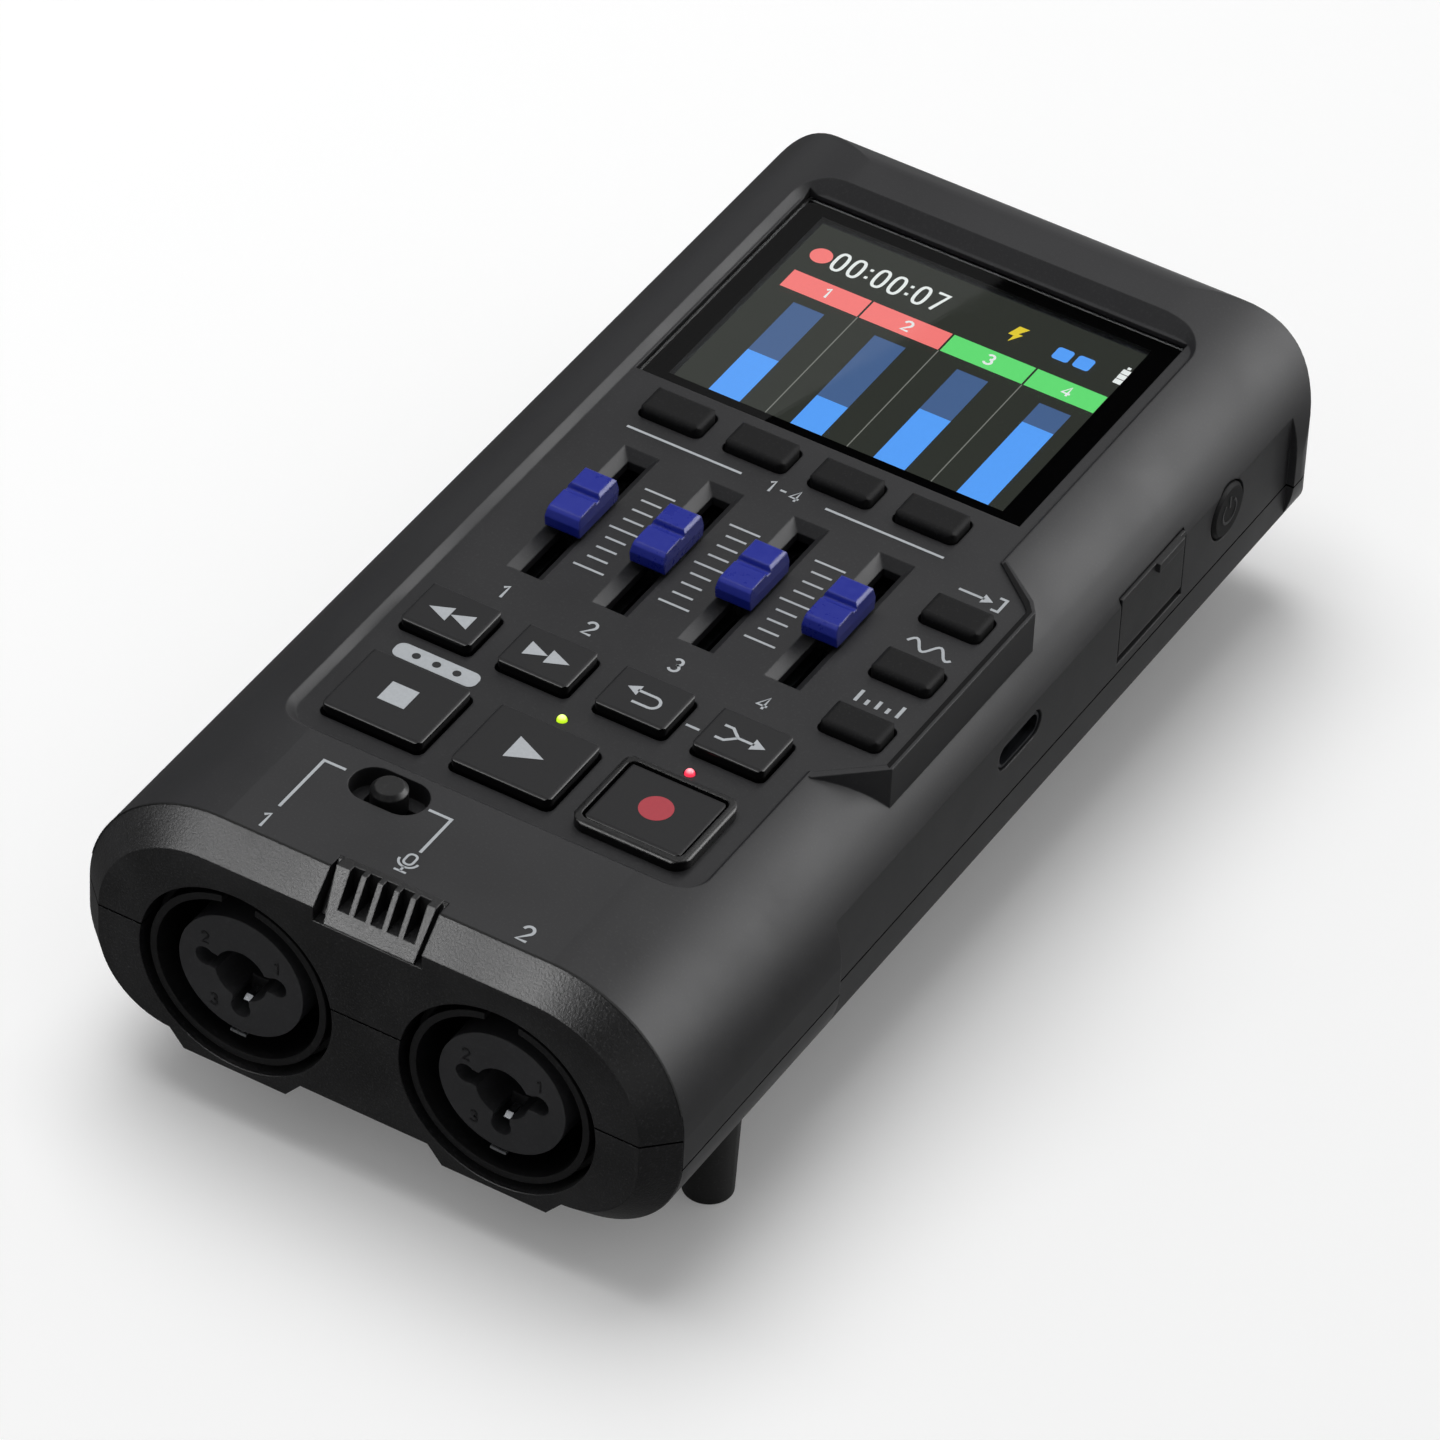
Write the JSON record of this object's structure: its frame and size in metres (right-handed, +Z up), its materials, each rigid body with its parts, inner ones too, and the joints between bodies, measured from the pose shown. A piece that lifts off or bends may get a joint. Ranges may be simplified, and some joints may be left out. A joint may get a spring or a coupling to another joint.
{
  "type": "digital multitrack recorder",
  "caption": "Handheld digital multitrack recorder with a rounded case, colour display, channel faders, transport keys and combo input jacks on the front end.",
  "frame": {"origin": "on the table under the middle of the case, halfway along its width and its length, at the feet", "axes": "+X to the right of the person using it, +Y from the jack face toward the display end, +Z up out of the control panel"},
  "size_m": [0.075, 0.144, 0.0417],
  "materials": {
    "case_plastic": "fine moulded grain",
    "bezel_plastic": "coarse spark grain",
    "capsule_steel": "satin",
    "display_glass": "polished",
    "display_panel": "lit screen",
    "key_rubber": "soft matt",
    "key_plastic": "satin",
    "guard_plastic": "semi-gloss",
    "cap_blue": "semi-gloss",
    "lever_steel": "bright zinc",
    "pot_steel": "tinned",
    "led_green": "lit lens",
    "led_red": "lit lens",
    "jack_plastic": "satin",
    "contact_brass": "plated",
    "board_laminate": "solder mask",
    "switch_plastic": "moulded",
    "socket_steel": "stamped",
    "cell_wrap": "plain printed film",
    "screw_steel": "black zinc",
    "foot_rubber": "moulded"
  },
  "bodies": {
    "chassis": {"top_shell": "case_plastic", "bottom_shell": "case_plastic", "front_bezel_upper": "bezel_plastic", "front_bezel_lower": "bezel_plastic", "mic_grille": "bezel_plastic", "mic_capsule": "capsule_steel", "display_window": "display_glass", "display_module": "display_panel", "record_guard": "guard_plastic", "fader_bodies": "pot_steel", "input_switch": "pot_steel", "play_led": "led_green", "record_led": "led_red", "jack_housing_left": "jack_plastic", "jack_housing_right": "jack_plastic", "jack_insert_left": "jack_plastic", "jack_insert_right": "jack_plastic", "jack_pins": "contact_brass", "jack_board": "board_laminate", "main_board": "board_laminate", "control_board": "board_laminate", "key_switches": "switch_plastic", "card_socket": "socket_steel", "serial_port": "socket_steel", "door_pin": "socket_steel", "battery_cells": "cell_wrap", "battery_contacts": "socket_steel", "phones_jack": "jack_plastic", "volume_encoder": "pot_steel", "case_screws": "screw_steel", "board_screws": "screw_steel", "rubber_feet": "foot_rubber"},
    "track_key_1_body": {"track_key_1": "key_rubber"},
    "track_key_2_body": {"track_key_2": "key_rubber"},
    "track_key_3_body": {"track_key_3": "key_rubber"},
    "track_key_4_body": {"track_key_4": "key_rubber"},
    "side_key_1_body": {"side_key_1": "key_rubber"},
    "side_key_2_body": {"side_key_2": "key_rubber"},
    "side_key_3_body": {"side_key_3": "key_rubber"},
    "rewind_key_body": {"rewind_key": "key_plastic"},
    "forward_key_body": {"forward_key": "key_plastic"},
    "undo_key_body": {"undo_key": "key_plastic"},
    "mix_key_body": {"mix_key": "key_plastic"},
    "stop_key_body": {"stop_key": "key_plastic"},
    "play_key_body": {"play_key": "key_plastic"},
    "record_key_body": {"record_key": "key_plastic"},
    "power_key_body": {"power_key": "key_rubber"},
    "input_knob_body": {"input_knob": "guard_plastic"},
    "card_door_body": {"card_door": "bezel_plastic"},
    "battery_door_body": {"battery_door": "case_plastic"},
    "volume_wheel_body": {"volume_wheel": "key_rubber"},
    "fader_1": {"fader_cap_1": "cap_blue", "fader_lever_1": "lever_steel"},
    "fader_2": {"fader_cap_2": "cap_blue", "fader_lever_2": "lever_steel"},
    "fader_3": {"fader_cap_3": "cap_blue", "fader_lever_3": "lever_steel"},
    "fader_4": {"fader_cap_4": "cap_blue", "fader_lever_4": "lever_steel"}
  },
  "joints": [
    {"name": "track_key_1_press", "type": "slide", "parent": "chassis", "child": "track_key_1_body", "axis": [0, 0, -1], "range_m": [0, 0.0005], "stiffness_N_per_m": 1500, "springref_m": -0.0005},
    {"name": "track_key_2_press", "type": "slide", "parent": "chassis", "child": "track_key_2_body", "axis": [0, 0, -1], "range_m": [0, 0.0005], "stiffness_N_per_m": 1500, "springref_m": -0.0005},
    {"name": "track_key_3_press", "type": "slide", "parent": "chassis", "child": "track_key_3_body", "axis": [0, 0, -1], "range_m": [0, 0.0005], "stiffness_N_per_m": 1500, "springref_m": -0.0005},
    {"name": "track_key_4_press", "type": "slide", "parent": "chassis", "child": "track_key_4_body", "axis": [0, 0, -1], "range_m": [0, 0.0005], "stiffness_N_per_m": 1500, "springref_m": -0.0005},
    {"name": "side_key_1_press", "type": "slide", "parent": "chassis", "child": "side_key_1_body", "axis": [0, 0, -1], "range_m": [0, 0.0005], "stiffness_N_per_m": 1500, "springref_m": -0.0005},
    {"name": "side_key_2_press", "type": "slide", "parent": "chassis", "child": "side_key_2_body", "axis": [0, 0, -1], "range_m": [0, 0.0005], "stiffness_N_per_m": 1500, "springref_m": -0.0005},
    {"name": "side_key_3_press", "type": "slide", "parent": "chassis", "child": "side_key_3_body", "axis": [0, 0, -1], "range_m": [0, 0.0005], "stiffness_N_per_m": 1500, "springref_m": -0.0005},
    {"name": "rewind_key_press", "type": "slide", "parent": "chassis", "child": "rewind_key_body", "axis": [0, 0, -1], "range_m": [0, 0.0005], "stiffness_N_per_m": 1500, "springref_m": -0.0005},
    {"name": "forward_key_press", "type": "slide", "parent": "chassis", "child": "forward_key_body", "axis": [0, 0, -1], "range_m": [0, 0.0005], "stiffness_N_per_m": 1500, "springref_m": -0.0005},
    {"name": "undo_key_press", "type": "slide", "parent": "chassis", "child": "undo_key_body", "axis": [0, 0, -1], "range_m": [0, 0.0005], "stiffness_N_per_m": 1500, "springref_m": -0.0005},
    {"name": "mix_key_press", "type": "slide", "parent": "chassis", "child": "mix_key_body", "axis": [0, 0, -1], "range_m": [0, 0.0005], "stiffness_N_per_m": 1500, "springref_m": -0.0005},
    {"name": "stop_key_press", "type": "slide", "parent": "chassis", "child": "stop_key_body", "axis": [0, 0, -1], "range_m": [0, 0.0005], "stiffness_N_per_m": 1500, "springref_m": -0.0005},
    {"name": "play_key_press", "type": "slide", "parent": "chassis", "child": "play_key_body", "axis": [0, 0, -1], "range_m": [0, 0.0005], "stiffness_N_per_m": 1500, "springref_m": -0.0005},
    {"name": "record_key_press", "type": "slide", "parent": "chassis", "child": "record_key_body", "axis": [0, 0, -1], "range_m": [0, 0.0005], "stiffness_N_per_m": 1500, "springref_m": -0.0005},
    {"name": "power_key_press", "type": "slide", "parent": "chassis", "child": "power_key_body", "axis": [-1, 0, 0], "range_m": [0, 0.0005], "stiffness_N_per_m": 1500, "springref_m": -0.0005},
    {"name": "fader_1_slide", "type": "slide", "parent": "chassis", "child": "fader_1", "axis": [0, 1, 0], "range_m": [-0.0083, 0.0093]},
    {"name": "fader_2_slide", "type": "slide", "parent": "chassis", "child": "fader_2", "axis": [0, 1, 0], "range_m": [-0.0083, 0.0093]},
    {"name": "fader_3_slide", "type": "slide", "parent": "chassis", "child": "fader_3", "axis": [0, 1, 0], "range_m": [-0.0083, 0.0093]},
    {"name": "fader_4_slide", "type": "slide", "parent": "chassis", "child": "fader_4", "axis": [0, 1, 0], "range_m": [-0.0083, 0.0093]},
    {"name": "input_knob_slide", "type": "slide", "parent": "chassis", "child": "input_knob_body", "axis": [1, 0, 0], "range_m": [-0.002, 0.002]},
    {"name": "card_door_hinge", "type": "hinge", "parent": "chassis", "child": "card_door_body", "pos_m": [0.03535, 0.0336, 0.0216], "axis": [0, 1, 0], "range_deg": [0, 95]},
    {"name": "battery_door_hinge", "type": "hinge", "parent": "chassis", "child": "battery_door_body", "pos_m": [0, 0.0213, 0.0083], "axis": [1, 0, 0], "range_deg": [0, 95]},
    {"name": "volume_wheel_turn", "type": "hinge", "parent": "chassis", "child": "volume_wheel_body", "pos_m": [-0.03, 0.0318, 0.0218], "axis": [0, 0, 1], "range_deg": [-135, 135]}
  ]
}
